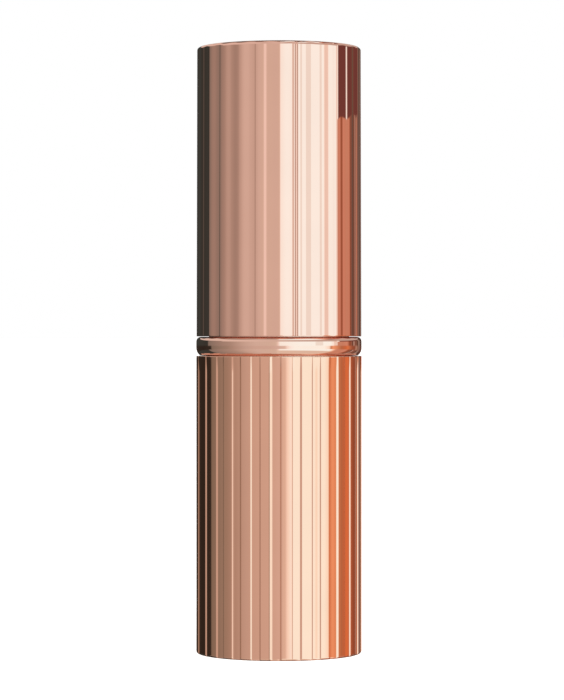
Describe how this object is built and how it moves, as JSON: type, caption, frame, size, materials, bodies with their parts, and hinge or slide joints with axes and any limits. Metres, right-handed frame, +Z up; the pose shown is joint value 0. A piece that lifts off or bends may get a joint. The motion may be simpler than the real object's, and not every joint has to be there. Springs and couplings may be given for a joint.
{
  "type": "lipstick case",
  "caption": "Cylindrical twist-up lipstick case: fluted pull-off cap, smooth rounded bead, fluted base, and a helix and slot mechanism that raises the lipstick in its cup.",
  "frame": {"origin": "centre of the foot, on the surface that the case stands on", "axes": "+Z up along the case's axis towards the closed cap's flat top, -Y towards the viewer; the case is round, so X and Y only set where its bands fall"},
  "size_m": [0.0206, 0.0206, 0.075],
  "materials": {
    "case_metal": "polished",
    "sleeve_metal": "gloss",
    "weight_steel": "satin",
    "white_plastic": "gloss",
    "mechanism_plastic": "satin",
    "brake_silicone": "matte",
    "lipstick_wax": "satin",
    "label_paper": "matte"
  },
  "bodies": {
    "base": {"base_shell": "case_metal", "base_liner": "white_plastic", "base_weight": "weight_steel", "shade_label": "label_paper", "slotted_tube": "mechanism_plastic", "lower_brake_ring": "brake_silicone", "upper_brake_ring": "brake_silicone"},
    "sleeve": {"helix_tube": "mechanism_plastic", "inner_sleeve": "sleeve_metal", "collar_ring": "case_metal"},
    "carrier": {"carrier_cup": "white_plastic", "lipstick_bullet": "lipstick_wax"},
    "cap": {"cap_shell": "case_metal", "cap_liner": "white_plastic"}
  },
  "joints": [
    {"name": "twist", "type": "hinge", "parent": "base", "child": "sleeve", "pos_m": [0, 0, 0.035], "axis": [0, 0, -1], "range_deg": [0, 540]},
    {"name": "lift", "type": "slide", "parent": "base", "child": "carrier", "axis": [0, 0, 1], "range_m": [0, 0.0213]},
    {"name": "cap_pull", "type": "slide", "parent": "sleeve", "child": "cap", "axis": [0, 0, 1], "range_m": [0, 0.06]}
  ],
  "couplings": [
    {"joint": "lift", "follows": "twist", "m_per_rad": 0.00226}
  ]
}
